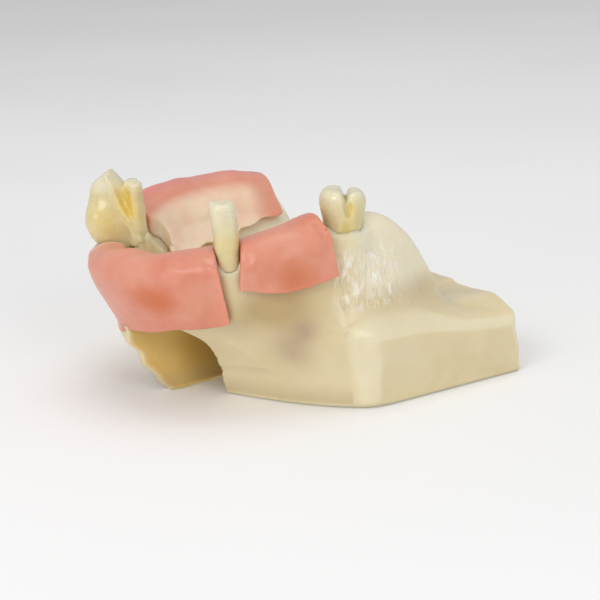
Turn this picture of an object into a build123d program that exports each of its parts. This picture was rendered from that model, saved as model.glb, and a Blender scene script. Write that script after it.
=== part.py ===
"""Implant and sinus-lift practice jaw (upper jaw, biting side up).

Frame, millimetres: +Z up (towards the biting surfaces), -Y the front of the mouth,
+X the patient's right. Origin: middle of the resting plane, on the septum web.
The jaw is a cast resin body with a squared clamping block behind the arch, an open nose
cavity in front, two sinus cavities open underneath, three soft gum saddles, three teeth
with roots in sockets, a membrane in each sinus and a foam core below each gum saddle.

A station s is a place along the arch: -10 left rear end, 0 front middle, 10 right rear end.
"""
from build123d import *
import math
import os

os.makedirs("parts", exist_ok=True)

# ---- driving dimensions -------------------------------------------------------------
HALF_WIDTH = 37.0        # flat side faces of the block, from the midline
REAR_Y = 38.3            # flat rear face
SHELF_Z = 14.0           # top of the block behind the arch
GUM = 2.0                # thickness of a gum saddle
CLEAR = 0.06             # gap round a root or a membrane
CROWN_GAP = 0.35         # gap between a crown and the gum
PALATE_Z = 17.5          # floor of the palate vault
NOSE_TOP = 14.5          # height of the nose cavity
SINUS_TOP = 22.5         # height of a sinus cavity
MEMBRANE = 0.9           # thickness of a sinus membrane

# ---- the arch: every list has one entry per station, 0 to 10 -------------------------
LAST = 10
# crest line (x, y) from the front to the tuberosity, right half
ARCH = [(0.0, -32.6), (8.0, -31.4), (14.7, -27.2), (19.4, -20.9), (22.8, -13.8), (25.2, -6.4),
        (26.4, 1.5), (26.3, 9.5), (25.0, 17.4), (22.8, 25.0), (20.0, 31.5)]
# crest height on each side
CREST_RIGHT = [29.2, 28.8, 30.2, 31.4, 33.0, 35.0, 35.6, 36.0, 29.8, 16.5, 9.8]
CREST_LEFT = [29.2, 28.8, 29.2, 32.2, 34.4, 34.9, 34.8, 34.0, 29.8, 16.5, 9.5]
# outward reach of the cheek side at heights 6, 13 and 20, or lower where the ridge is low
CHEEK_LOW = [-8.0, -9.5, -10.0, -8.0, -3.0, 3.5, 10.0, 12.0, 12.5, 12.0, 9.0]
CHEEK_MID = [-3.0, -4.4, -4.8, -2.8, 1.4, 6.0, 9.6, 11.0, 10.5, 9.0, 6.0]
CHEEK_HIGH = [1.2, 0.6, 0.8, 2.4, 4.5, 5.8, 6.6, 7.0, 5.8, 4.2, 3.0]
# reach of the palate side at the palate floor, and about half way up to the crest
PALATE_LOW = [-16.5, -16.0, -15.5, -15.0, -14.5, -14.5, -15.0, -15.0, -14.5, -13.5, -12.5]
PALATE_MID = [-8.5, -8.5, -8.0, -8.0, -8.0, -8.5, -9.0, -9.0, -8.5, -7.5, -6.5]


def arch_at(s):
    """Crest point (x, y) and outward direction (x, y) at station s, on a Catmull-Rom curve."""
    side, place = (1 if s >= 0 else -1), abs(s)

    def knot(i):
        return ARCH[i] if i >= 0 else (-ARCH[-i][0], ARCH[-i][1])

    def curve(t):
        i = min(int(math.floor(t)), LAST - 1)
        u = t - i
        p0, p1, p2 = knot(i - 1), knot(i), knot(i + 1)
        p3 = knot(i + 2) if i + 2 <= LAST else (2 * p2[0] - p1[0], 2 * p2[1] - p1[1])
        return [0.5 * (2 * p1[k] + (p2[k] - p0[k]) * u
                       + (2 * p0[k] - 5 * p1[k] + 4 * p2[k] - p3[k]) * u * u
                       + (3 * p1[k] - p0[k] - 3 * p2[k] + p3[k]) * u ** 3) for k in (0, 1)]

    x, y = curve(place)
    step = 0.05
    if place < step:
        tangent_x, tangent_y = 1.0, 0.0
    else:
        x0, y0 = curve(max(place - step, 0.0))
        x1, y1 = curve(min(place + step, float(LAST)))
        length = math.hypot(x1 - x0, y1 - y0)
        tangent_x, tangent_y = (x1 - x0) / length, (y1 - y0) / length
    return side * x, y, side * tangent_y, -tangent_x


def at_station(values, s):
    """Value at station s, read linearly between the entries of a list."""
    place = min(abs(s), float(LAST))
    i = min(int(place), LAST - 1)
    return values[i] + (values[i + 1] - values[i]) * (place - i)


def crest_height(s):
    return at_station(CREST_RIGHT if s >= 0 else CREST_LEFT, s)


def stations(start, end, steps):
    return [start + (end - start) * i / steps for i in range(steps + 1)]


def section_plane(s):
    """Upright plane across the arch: local x outward, local y up."""
    x, y, out_x, out_y = arch_at(s)
    return Plane(origin=(x, y, 0), x_dir=(out_x, out_y, 0), z_dir=(out_y, -out_x, 0))


def ridge_points(s, grow=0.0):
    """Profile of the ridge at station s, from the palate side over the crest to the
    cheek side, as (outward, height), grown outward by grow."""
    crest = crest_height(s)
    palate_z = min(PALATE_Z - 1.5, crest - 1.0)
    blunt = min(1.0, max(0.25, (crest - 14.0) / 14.0))      # a low ridge is also a blunt one
    high_z = min(20.0, 13.0 + 0.45 * (crest - 13.0), crest - 2.2)
    mid_z = min(13.0, high_z - 2.5)
    points = [
        (at_station(PALATE_LOW, s), palate_z),
        (at_station(PALATE_MID, s), palate_z + 0.45 * (crest - palate_z)),
        (-4.4, crest - 3.2 * blunt),
        (-1.9, crest - 0.7 * blunt),
        (0.5, crest),
        (2.6, crest - 0.9 * blunt),
        (4.0, crest - 3.4 * blunt),
        (at_station(CHEEK_HIGH, s), high_z),
        (at_station(CHEEK_MID, s), mid_z),
        (at_station(CHEEK_LOW, s), min(6.0, mid_z - 1.0)),
    ]
    if not grow:
        return points
    grown = []
    for i, (outward, height) in enumerate(points):
        before, after = points[max(i - 1, 0)], points[min(i + 1, len(points) - 1)]
        run, rise = after[0] - before[0], after[1] - before[1]
        length = math.hypot(run, rise)
        grown.append((outward - rise / length * grow, height + run / length * grow))
    return grown


# ---- solids of the cast body --------------------------------------------------------
SKIRT_Z = 4.0            # underside of the ridge, inside the block
SKIRT_IN = 1.5           # how far its lower corners are drawn in


def ridge():
    with BuildPart() as part:
        for s in range(-LAST, LAST + 1):
            points = ridge_points(s)
            first, last = points[0], points[-1]
            with BuildSketch(section_plane(s)):
                with BuildLine():
                    Spline(*points)
                    Polyline(last, (last[0] - SKIRT_IN, SKIRT_Z),
                             (first[0] + SKIRT_IN, SKIRT_Z), first)
                make_face()
        loft()
    return part.part


BLOCK_X = HALF_WIDTH + 3.0   # untrimmed side of the block
BEVEL_Z = 11.5               # height where the 45 degree bevel starts
# right half of the block's outline (x, y), from the rear to the front
BLOCK_BASE = [(BLOCK_X, REAR_Y), (BLOCK_X, 1.8), (24, -7.9), (10, -16.5), (5, -21.5),
              (1.6, -24.8)]
BLOCK_UPPER = [(BLOCK_X, REAR_Y), (BLOCK_X, 3.0), (27, -8.5), (14, -20.5), (7, -27.0),
               (1.6, -30.5)]


def both_halves(half):
    return half + [(-x, y) for x, y in reversed(half)]


def block():
    with BuildPart() as part:
        for z, half in ((0, BLOCK_BASE), (BEVEL_Z, BLOCK_UPPER)):
            with BuildSketch(Plane.XY.offset(z)):
                with BuildLine():
                    Polyline(*both_halves(half), close=True)
                make_face()
        loft(ruled=True)
        with BuildSketch(Plane.XY.offset(BEVEL_Z)):
            with BuildLine():
                Polyline(*both_halves(BLOCK_UPPER), close=True)
            make_face()
        extrude(amount=SHELF_Z - BEVEL_Z, taper=45)
    return part.part


PALATE_BASE_Z = 8
PALATE_OUTLINE = [(0, -21), (8, -15), (13, -4), (14.5, 10), (13, 24), (9, 36),
                  (-9, 36), (-13, 24), (-14.5, 10), (-13, -4), (-8, -15)]
# (y, z) of what is cut off so that the palate falls to the shelf at the rear
REAR_FALL = [(6, PALATE_Z + 0.01), (26, SHELF_Z - 0.4), (45, SHELF_Z - 0.8),
             (45, PALATE_Z + 1), (6, PALATE_Z + 1)]


def palate():
    with BuildPart() as part:
        with BuildSketch(Plane.XY.offset(PALATE_BASE_Z)):
            with BuildLine():
                Spline(*PALATE_OUTLINE, periodic=True)
            make_face()
        extrude(amount=PALATE_Z - PALATE_BASE_Z)
        top = faces().sort_by(Axis.Z)[-1]
        fillet(top.edges(), 1.5)
        with BuildSketch(Plane.YZ):
            with BuildLine():
                Polyline(*REAR_FALL, close=True)
            make_face()
        extrude(amount=30, both=True, mode=Mode.SUBTRACT)
    return part.part


# ---- nose cavity --------------------------------------------------------------------
WEB = 1.1                # half thickness of the septum web
CUT_Z = -2               # the cuts start below the resting plane
NOSE_WALL = (10.2, 4.5)  # (x, z) where the curved roof meets the side wall
NOSE_ROOF = [(WEB, NOSE_TOP - 4.0), (3.6, NOSE_TOP - 0.4), (6.8, NOSE_TOP - 1.2),
             (9.4, NOSE_TOP - 5.5), NOSE_WALL]
# right chamber (x, z) at the rear and front ends of the flare
FLARE_REAR = [(WEB, CUT_Z), (WEB, 10.5), (3.6, 13.2), (6.8, 12.6), (9.2, 9.5), (10.1, 4.5),
              (10.3, CUT_Z)]
FLARE_FRONT = [(WEB, CUT_Z), (WEB, 11.0), (3.6, 14.9), (8.2, 15.8), (12.4, 14.6), (12.9, 8.8),
               (10.9, CUT_Z)]
# distances in front of the origin, towards -Y
CHAMBER_FRONT = 42
FLARE_REAR_AT = 16
FLARE_FRONT_AT = 26
CHAMBER_LENGTH = 56
MOUTH_LENGTH = 16
# (y, z) of the cut that steps the web back below the nasal spine
SEPTUM_STEP = [(-45, CUT_Z), (-24.4, CUT_Z), (-24.6, 1.0), (-26.5, 2.2), (-28.0, 4.6),
               (-30.6, 6.4), (-31.2, 9.2), (-33.2, 11.6), (-33.6, 13.2), (-45, 13.2)]


def on_side(side, points):
    return [(side * x, z) for x, z in points]


def nose():
    """Two chambers with the septum web between them, flaring towards the front."""
    with BuildPart() as part:
        for side in (1, -1):
            roof = on_side(side, NOSE_ROOF)
            web_foot, wall_foot = on_side(side, [(WEB, CUT_Z), (10.4, CUT_Z)])
            with BuildSketch(Plane.XZ.offset(CHAMBER_FRONT)):
                with BuildLine():
                    Polyline(web_foot, roof[0])
                    Spline(*roof)
                    Polyline(roof[-1], wall_foot, web_foot)
                make_face()
            extrude(amount=-CHAMBER_LENGTH)
            for forward, outline in ((FLARE_REAR_AT, FLARE_REAR), (FLARE_FRONT_AT, FLARE_FRONT)):
                with BuildSketch(Plane.XZ.offset(forward)):
                    with BuildLine():
                        Polyline(*on_side(side, outline), close=True)
                    make_face()
            loft(ruled=True)
            with BuildSketch(Plane.XZ.offset(FLARE_FRONT_AT - 0.1)):
                with BuildLine():
                    Polyline(*on_side(side, FLARE_FRONT), close=True)
                make_face()
            extrude(amount=MOUTH_LENGTH)
    return part.part


def septum_step():
    with BuildPart() as part:
        with BuildSketch(Plane.YZ):
            with BuildLine():
                Polyline(*SEPTUM_STEP, close=True)
            make_face()
        extrude(amount=12, both=True)
    return part.part


# ---- sinus cavities: narrower towards the top so that a membrane pulls out -----------
# outline (x, y) of the right cavity at z = 0, its centre and its half sizes
SINUS_OUTLINE = [(14.8, 8), (16.2, -4.5), (22.6, -5.4), (29.4, -0.6), (32.4, 9), (31.0, 19.5),
                 (24, 24.0), (16.8, 20.0)]
SINUS_X, SINUS_Y = 24.2, 8.6
SINUS_HALF_X, SINUS_HALF_Y = 8.8, 14.8
SINUS_DRAFT = 0.24       # share of the outline's size lost from z = 0 to the top
# the domed top: (depth below the top, extra inset)
SINUS_DOME = [(5.0, 0.0), (2.2, 0.9), (0.6, 2.4), (0.0, 4.0)]


def sinus_points(side, z, inset):
    """Outline of the cavity at height z, drawn in by inset."""
    scale_at_z = 1.0 - SINUS_DRAFT * z / SINUS_TOP
    scale_x = scale_at_z - inset / SINUS_HALF_X
    scale_y = scale_at_z - inset / SINUS_HALF_Y
    return [(side * (SINUS_X + (x - SINUS_X) * scale_x), SINUS_Y + (y - SINUS_Y) * scale_y)
            for x, y in SINUS_OUTLINE]


def sinus_solid(side, inset, top, bottom):
    """The cavity's volume: drafted walls and a domed top."""
    levels = [(bottom, 0.0)] + [(top - depth, extra) for depth, extra in SINUS_DOME]
    with BuildPart() as part:
        for z, extra in levels:
            with BuildSketch(Plane.XY.offset(z)):
                with BuildLine():
                    Spline(*sinus_points(side, z, inset + extra), periodic=True)
                make_face()
        loft(ruled=True)
    return part.part


def sinus_membrane(side):
    outer = sinus_solid(side, CLEAR, SINUS_TOP - CLEAR, 5.0)
    inner = sinus_solid(side, CLEAR + MEMBRANE, SINUS_TOP - CLEAR - MEMBRANE, 4.0)
    with BuildPart() as part:
        add(outer)
        add(inner, mode=Mode.SUBTRACT)
    return part.part


# ---- teeth: each a crown on a tapered root, along its own axis -----------------------
def tooth_plane(s, offset, z, tip_out=0.0, tip_along=0.0):
    """Plane at the neck of a tooth, offset outward from the crest line: local x outward,
    local z along the tooth, tipped (degrees) outward and along the arch."""
    x, y, out_x, out_y = arch_at(s)
    origin = Vector(x + out_x * offset, y + out_y * offset, z)
    out = Vector(out_x, out_y, 0)
    along = Vector(-out_y, out_x, 0)
    axis = (Vector(0, 0, 1) + out * math.tan(math.radians(tip_out))
            + along * math.tan(math.radians(tip_along))).normalized()
    x_dir = (out - axis * out.dot(axis)).normalized()
    return Plane(origin=origin, x_dir=x_dir, z_dir=axis)


PREMOLAR_PLANE = tooth_plane(-2.05, -1.2, 29.2, tip_out=2)
CANINE_PLANE = tooth_plane(3.18, 0.9, 29.4, tip_out=-2, tip_along=-4)
MOLAR_PLANE = tooth_plane(6.02, 0.6, 33.4, tip_out=2)

# rings from the root tip up: (height from the neck, half size outward, half size along the
# arch, superellipse power, outward shift); a crown starts on its root's last ring
PREMOLAR_ROOT = [(-9.0, 2.0, 1.6, 2.0, 0), (-4.0, 3.0, 2.3, 2.0, 0), (0.4, 4.0, 3.1, 2.2, 0)]
PREMOLAR_CROWN = [PREMOLAR_ROOT[-1], (4.0, 5.6, 4.1, 2.3, 0.3), (8.0, 6.0, 4.3, 2.4, 0.4),
                  (11.6, 5.2, 3.6, 2.2, 0.2), (14.2, 3.6, 2.2, 2.0, 0)]
CANINE_ROOT = [(-11.0, 1.2, 1.1, 2.0, 0), (-5.0, 1.9, 1.7, 2.0, 0), (0.4, 2.6, 2.0, 2.2, 0)]
CANINE_CROWN = [CANINE_ROOT[-1], (4.0, 3.0, 2.3, 2.4, 0), (8.5, 3.1, 2.7, 2.6, 0),
                (11.0, 2.7, 2.6, 2.6, 0), (12.0, 1.9, 1.9, 2.4, 0)]
MOLAR_ROOT = [(-6.0, 2.8, 2.6, 2.2, 0), (-3.0, 3.4, 3.2, 2.3, 0), (0.4, 3.9, 3.8, 2.5, 0)]
MOLAR_CROWN = [MOLAR_ROOT[-1], (3.0, 4.6, 4.3, 2.7, 0), (5.4, 4.7, 4.4, 2.7, 0),
               (7.3, 3.9, 3.7, 2.4, 0)]
# grooves in the crown: (outward, height, radius, spin about the groove's own axis in degrees)
PREMOLAR_GROOVES = [(0.6, 15.6, 2.6, 0)]
MOLAR_GROOVES = [(0, 9.0, 2.2, 0), (0, 9.0, 2.2, 90)]


def oval(half_out, half_along, power, shift):
    """Sixteen points of a superellipse, shifted outward."""
    points = []
    for i in range(16):
        angle = 2 * math.pi * i / 16
        c, s = math.cos(angle), math.sin(angle)
        points.append((shift + half_out * math.copysign(abs(c) ** (2 / power), c),
                       half_along * math.copysign(abs(s) ** (2 / power), s)))
    return points


def ring_solid(plane, rings, gap=0.0):
    """Solid through the rings, grown by gap."""
    with BuildPart() as part:
        for height, half_out, half_along, power, shift in rings:
            with BuildSketch(plane.offset(height)):
                with BuildLine():
                    Spline(*oval(half_out + gap, half_along + gap, power, shift), periodic=True)
                make_face()
        loft(ruled=True)
    return part.part


def tooth(plane, root_rings, crown_rings, grooves=()):
    root, crown = ring_solid(plane, root_rings), ring_solid(plane, crown_rings)
    with BuildPart() as part:
        add(root)
        add(crown)
        for outward, height, radius, spin in grooves:
            with Locations(plane * Location((outward, 0, height), (90, 0, spin))):
                Cylinder(radius, 30, mode=Mode.SUBTRACT)
    return part.part


def socket(plane, root_rings):
    """Room for a root: a little deeper than its tip, and widening above the neck."""
    tip_height, *tip_shape = root_rings[0]
    neck_height, half_out, half_along, power, shift = root_rings[-1]
    rings = [(tip_height - 0.2, *tip_shape)] + root_rings[1:]
    rings.append((neck_height + 6.0, half_out + 2.2, half_along + 2.2, power, shift))
    return ring_solid(plane, rings, gap=CLEAR)


# ---- foam cores inside the ridge, below the gum saddles ------------------------------
def bone_core(start, end, steps, bottom):
    with BuildPart() as part:
        for s in stations(start, end, steps):
            crest = crest_height(s)
            cheek = at_station(CHEEK_HIGH, s)
            with BuildSketch(section_plane(s)):
                with BuildLine():
                    Polyline((-3.4, bottom), (-2.9, crest - 5.4), (-1.2, crest - 3.0),
                             (0.6, crest - 2.7), (min(2.2, 1.2 + 0.25 * cheek), crest - 4.4),
                             (min(cheek - 2.0, 2.6), bottom), close=True)
                make_face()
        loft(ruled=True)
    return part.part


# ---- the cast body ------------------------------------------------------------------
TRIM_LENGTH = 140        # trimming boxes reach past the body
TRIM_DEPTH = 40
TRIM_HEIGHT = 80
TRIM_BELOW = 60


def maxilla_body(cores):
    solids = [ridge(), block(), palate()]
    cavities = [nose(), septum_step()]
    cavities += [sinus_solid(side, 0.0, SINUS_TOP, -1.0) for side in (1, -1)]
    cavities += [socket(PREMOLAR_PLANE, PREMOLAR_ROOT), socket(CANINE_PLANE, CANINE_ROOT),
                 socket(MOLAR_PLANE, MOLAR_ROOT)]
    with BuildPart() as part:
        for solid in solids:
            add(solid)
        # trim to the resting plane, the side faces and the rear face
        with Locations((0, 0, -TRIM_BELOW / 2)):
            Box(TRIM_LENGTH, TRIM_LENGTH, TRIM_BELOW, mode=Mode.SUBTRACT)
        for side in (1, -1):
            with Locations((side * (HALF_WIDTH + TRIM_DEPTH / 2), 0, 20)):
                Box(TRIM_DEPTH, TRIM_LENGTH, TRIM_HEIGHT, mode=Mode.SUBTRACT)
        with Locations((0, REAR_Y + TRIM_DEPTH / 2, 20)):
            Box(TRIM_LENGTH, TRIM_DEPTH, TRIM_HEIGHT, mode=Mode.SUBTRACT)
        for cavity in cavities + cores:
            add(cavity, mode=Mode.SUBTRACT)
    return part.part


# ---- gum saddles --------------------------------------------------------------------
def premolar_notch():
    """Box over the ridge at the premolar; the saddle keeps only its cheek side there."""
    with BuildPart() as part:
        with Locations(PREMOLAR_PLANE * Location((-6.0, -4.0, 5.0))):
            Box(20.6, 16.0, 24.0)
    return part.part


def saddle(body, start, end, steps, first, last, low_z, low_slope=0.0, cuts=()):
    """A saddle on the body from station start to end. It covers ridge profile points first
    to last, and goes on down the cheek side to the height low_z + low_slope * s, which lies
    between points last and last + 1. The largest solid left after the cuts is kept."""
    with BuildPart() as part:
        for s in stations(start, end, steps):
            inner, outer = ridge_points(s), ridge_points(s, GUM)
            low = low_z + low_slope * s
            share = (inner[last][1] - low) / (inner[last][1] - inner[last + 1][1])
            inner_end, outer_end = (
                tuple(points[last][k] + share * (points[last + 1][k] - points[last][k])
                      for k in (0, 1))
                for points in (inner, outer))
            skin = outer[first:last + 1] + [outer_end]
            with BuildSketch(section_plane(s)):
                with BuildLine():
                    Spline(*skin)
                    Polyline(skin[-1], (inner_end[0] - 2.5, inner_end[1]),
                             (inner[first][0] + 1.5, inner[first][1] - 2.5), skin[0])
                make_face()
        loft()
        add(body, mode=Mode.SUBTRACT)
        for cut in cuts:
            add(cut, mode=Mode.SUBTRACT)
    return sorted(part.part.solids(), key=lambda solid: -solid.volume)[0]


# ---- build and export ---------------------------------------------------------------
front_core = bone_core(-1.2, 2.5, steps=4, bottom=21.0)
right_core = bone_core(4.2, 5.35, steps=2, bottom=25.5)
left_core = bone_core(-6.9, -3.6, steps=4, bottom=26.0)
body = maxilla_body([front_core, right_core, left_core])

premolar_room = ring_solid(PREMOLAR_PLANE, PREMOLAR_CROWN, gap=CROWN_GAP)
canine_room = ring_solid(CANINE_PLANE, CANINE_CROWN, gap=CROWN_GAP)
molar_room = ring_solid(MOLAR_PLANE, MOLAR_CROWN, gap=CROWN_GAP)

parts = {
    "maxilla_body": body,
    "left_premolar": tooth(PREMOLAR_PLANE, PREMOLAR_ROOT, PREMOLAR_CROWN, PREMOLAR_GROOVES),
    "right_canine": tooth(CANINE_PLANE, CANINE_ROOT, CANINE_CROWN),
    "right_molar": tooth(MOLAR_PLANE, MOLAR_ROOT, MOLAR_CROWN, MOLAR_GROOVES),
    "anterior_bone_core": front_core,
    "right_bone_core": right_core,
    "left_bone_core": left_core,
    "right_sinus_membrane": sinus_membrane(1),
    "left_sinus_membrane": sinus_membrane(-1),
    "anterior_gingiva": saddle(body, -2.6, 2.8, steps=7, first=3, last=7, low_z=15.2,
                               low_slope=0.95,
                               cuts=(premolar_notch(), premolar_room, canine_room)),
    "right_gingiva": saddle(body, 3.5, 5.42, steps=3, first=2, last=6, low_z=25.8,
                            cuts=(canine_room, molar_room)),
    "left_gingiva": saddle(body, -8.0, -3.0, steps=6, first=1, last=6, low_z=20.6),
}

for name, part in parts.items():
    part.label = name
    export_step(part, f"parts/{name}.step")
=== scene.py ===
"""Implant and sinus-lift practice jaw: an upper jaw cast lying on its base, teeth pointing up.

Frame: x = 0 is the midline, +x the jaw's right, -y the front, +z up, the base on z = 0.
Shapes are implicit fields in millimetres, negative inside, meshed on grids. Gum pads, teeth and
membranes are worked from the same fields as the cast, so they fit its ridge, sockets and cavities.
"""
import bpy
import itertools
import math
from functools import reduce
import numpy as np
from mathutils import Matrix


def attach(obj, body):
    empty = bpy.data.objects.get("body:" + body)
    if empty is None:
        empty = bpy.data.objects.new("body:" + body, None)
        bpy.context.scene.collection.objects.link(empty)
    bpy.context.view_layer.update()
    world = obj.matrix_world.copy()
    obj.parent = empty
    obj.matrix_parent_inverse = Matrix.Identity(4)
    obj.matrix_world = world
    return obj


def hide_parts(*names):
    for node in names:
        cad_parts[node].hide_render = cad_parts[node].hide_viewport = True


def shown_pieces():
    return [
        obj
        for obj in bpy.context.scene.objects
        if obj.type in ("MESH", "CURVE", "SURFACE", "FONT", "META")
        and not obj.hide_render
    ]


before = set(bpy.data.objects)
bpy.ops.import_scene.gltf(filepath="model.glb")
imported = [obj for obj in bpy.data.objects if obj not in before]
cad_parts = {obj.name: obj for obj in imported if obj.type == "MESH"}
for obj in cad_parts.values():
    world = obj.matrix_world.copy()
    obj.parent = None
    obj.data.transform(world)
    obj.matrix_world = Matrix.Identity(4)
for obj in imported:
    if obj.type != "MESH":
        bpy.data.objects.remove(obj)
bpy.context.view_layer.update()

FLOAT = np.float32
MM = 0.001

# Grid steps
BODY_STEP = 0.42
PAD_STEP = 0.30
TOOTH_STEP = 0.18

# Driving sizes
HALF_WIDTH = 37.0        # midline to the flat sides
REAR_Y = 38.3            # flat rear face
PALATE_Z = 17.5
SINUS_TOP = 22.5
PAD_THICKNESS = 2.0
MM_PER_S = 8.0           # arch length per unit of s, about


# ---------------------------------------------------------------- noise and field tools
LATTICE = (np.random.default_rng(11).random((32, 32, 32)) * 2 - 1).astype(FLOAT)


def xyz(points):
    return points[..., 0], points[..., 1], points[..., 2]


def value_noise(points, scale, seed=0):
    """Smooth noise in -1..1. scale: feature size in mm, a number or one per axis."""
    q = np.asarray(points, FLOAT) / np.asarray(scale, FLOAT) + FLOAT(3.7 + seed * 7.31)
    cell = np.floor(q).astype(np.int32)
    frac = q - cell
    x0, y0, z0 = xyz(cell & 31)
    x1, y1, z1 = xyz((cell + 1) & 31)
    fx, fy, fz = xyz(frac * frac * (3 - 2 * frac))

    def along_x(y, z):
        return LATTICE[x0, y, z] * (1 - fx) + LATTICE[x1, y, z] * fx

    low = along_x(y0, z0) * (1 - fy) + along_x(y1, z0) * fy
    high = along_x(y0, z1) * (1 - fy) + along_x(y1, z1) * fy
    return low * (1 - fz) + high * fz


def layered_noise(points, scale, seed=0, octaves=3):
    total, weight, weights = 0, 1.0, 0.0
    for k in range(octaves):
        total = total + weight * value_noise(points, scale / 2 ** k, seed + 13 * k)
        weights += weight
        weight *= 0.5
    return total / weights


def meet(*fields):
    """Intersection with sharp edges."""
    return reduce(np.maximum, fields)


def round_meet(a, b, radius):
    """Intersection with a rounded edge."""
    return (np.minimum(np.maximum(a, b), -radius)
            + np.hypot(np.maximum(a + radius, 0), np.maximum(b + radius, 0)))


def soft_join(a, b, width):
    """Union with a fillet."""
    h = np.clip(0.5 + 0.5 * (b - a) / width, 0, 1)
    return b + (a - b) * h - width * h * (1 - h)


def soft_meet(a, b, width):
    """Intersection with a blended edge."""
    return -soft_join(-a, -b, width)


def ramp(start, end, v):
    """Smooth 0..1 as v goes from start to end."""
    t = np.clip((v - start) / (end - start), 0, 1)
    return t * t * (3 - 2 * t)


def bell(v, centre, width):
    return np.exp(-((v - centre) / width) ** 2)


def spot(points, centre, radius):
    return np.exp(-((points - np.array(centre)) ** 2).sum(-1) / (radius * radius))


def catmull(p0, p1, p2, p3, u):
    return 0.5 * (2 * p1 + (p2 - p0) * u + (2 * p0 - 5 * p1 + 4 * p2 - p3) * u * u
                  + (3 * p1 - p0 - 3 * p2 + p3) * u ** 3)


def smooth(a, sigma, axis):
    """Gaussian smoothing along one axis."""
    n = max(1, int(3 * sigma))
    kernel = np.exp(-0.5 * (np.arange(-n, n + 1) / sigma) ** 2)
    kernel /= kernel.sum()
    padded = np.pad(a, [(n, n) if i == axis else (0, 0) for i in range(a.ndim)], mode="edge")
    return np.apply_along_axis(lambda v: np.convolve(v, kernel, "valid"), axis, padded)


# ---------------------------------------------------------------- arch and ridge tables
# The arch runs s = -10 (left rear) .. 0 (front) .. 10 (right rear). Lists hold s = 0..10.
ARCH = [(0.0, -32.6), (8.0, -31.4), (14.7, -27.2), (19.4, -20.9), (22.8, -13.8), (25.2, -6.4),
        (26.4, 1.5), (26.3, 9.5), (25.0, 17.4), (22.8, 25.0), (20.0, 31.5)]      # x, y
# Height of the ridge crest on each side
CREST_RIGHT = [29.2, 28.8, 30.2, 31.4, 33.0, 35.0, 35.6, 36.0, 29.8, 16.5, 10.0]
CREST_LEFT = [29.2, 28.8, 29.2, 32.2, 34.4, 34.9, 34.8, 34.5, 31.0, 16.5, 10.0]
# Offset of the outer face from the arch line, one row per height
OUTER_ROWS = [
    [-11.0, -12.0, -12.0, -9.5, -4.0, 2.5, 9.5, 12.0, 12.5, 12.0, 9.0],          # z 0
    [-8.0, -9.5, -10.0, -8.0, -3.0, 3.5, 10.0, 12.0, 12.5, 12.0, 9.0],           # z 6
    [-3.0, -4.4, -4.8, -2.8, 1.4, 6.0, 9.6, 11.0, 10.5, 9.0, 6.0],               # z 13
    [0.6, 0.3, 0.6, 2.2, 4.4, 5.8, 6.6, 7.0, 5.6, 3.8, 3.0],                     # z 20
    [3.0, 2.9, 3.0, 3.6, 4.0, 4.0, 4.0, 4.0, 4.0, 4.0, 4.0],                     # below crest
]
# Offset of the inner face: at the palate, and part way up to the crest
INNER_ROWS = [
    [-16.5, -16.0, -15.5, -15.0, -14.5, -14.5, -15.0, -15.0, -14.5, -13.5, -12.5],
    [-8.5, -8.5, -8.0, -8.0, -8.0, -8.5, -9.0, -9.0, -8.5, -7.5, -6.5],
]
INNER_TOP = -4.4
# Buttress along the inner side of the left ridge: x, y, height of its top
BUTTRESS = np.array([(-9.0, -23.8, 29.7), (-10.2, -22.7, 28.2), (-11.6, -20.9, 26.6),
                     (-12.6, -18.8, 25.2), (-12.9, -17.0, 24.0)])
BUTTRESS_RADII = (1.6, 1.4, 1.2, 0.9)


def spline(values, s):
    """Catmull-Rom curve through 21 values at s = -10..10."""
    v = np.asarray(values, float)
    v = np.concatenate([[2 * v[0] - v[1]], v, [2 * v[-1] - v[-2]]])
    t = np.clip(np.asarray(s, float), -10, 10) + 10
    i = np.minimum(t.astype(int), 19)
    return catmull(v[i], v[i + 1], v[i + 2], v[i + 3], t - i)


def mirrored(half):
    return list(half[:0:-1]) + list(half)


S_COUNT = 801
S_STEP = 20.0 / (S_COUNT - 1)
S = np.linspace(-10, 10, S_COUNT)
ARCH_X = spline([-x for x, y in ARCH[:0:-1]] + [x for x, y in ARCH], S)
ARCH_Y = spline(mirrored([y for x, y in ARCH]), S)
_dx, _dy = np.gradient(ARCH_X), np.gradient(ARCH_Y)
SPEED = np.hypot(_dx, _dy)
TAN_X, TAN_Y = _dx / SPEED, _dy / SPEED
OUT_X, OUT_Y = TAN_Y, -TAN_X
CREST = spline(list(CREST_LEFT[:0:-1]) + list(CREST_RIGHT), S)
Z_STEP = 0.25
Z = np.arange(-1, 42.01, Z_STEP)


def face_tables():
    """Offsets of the ridge's outer and inner faces, over S and Z."""
    outer_rows = np.array([spline(mirrored(row), S) for row in OUTER_ROWS])
    inner_rows = [spline(mirrored(row), S) for row in INNER_ROWS]
    outer, inner = np.zeros((2, S_COUNT, len(Z)))
    for i, crest in enumerate(CREST):
        heights = [0, 6, 13, 20, crest - 3.4]
        if crest < 23.9:                       # low ridge: squeeze the rows under the crest
            high = min(20.0, 13.0 + 0.45 * (crest - 13.0), crest - 2.2)
            middle = min(13.0, high - 2.5)
            heights = [0, min(6.0, middle - 1.0), middle, high]
        outer[i] = np.interp(Z, heights, outer_rows[:len(heights), i])
        foot = min(PALATE_Z - 1.5, crest - 2.0)
        rise = crest - foot
        heights = [foot, foot + 0.45 * rise, max(crest - 3.2, foot + 0.6 * rise)]
        inner[i] = np.interp(Z, heights, [inner_rows[0][i], inner_rows[1][i], INNER_TOP])
    return [smooth(smooth(table, 6.0, 1), 5.0, 0) for table in (outer, inner)]


OUTER, INNER = face_tables()
OUTER_SLOPE, INNER_SLOPE = (np.gradient(t, Z_STEP, axis=1) for t in (OUTER, INNER))


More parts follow.
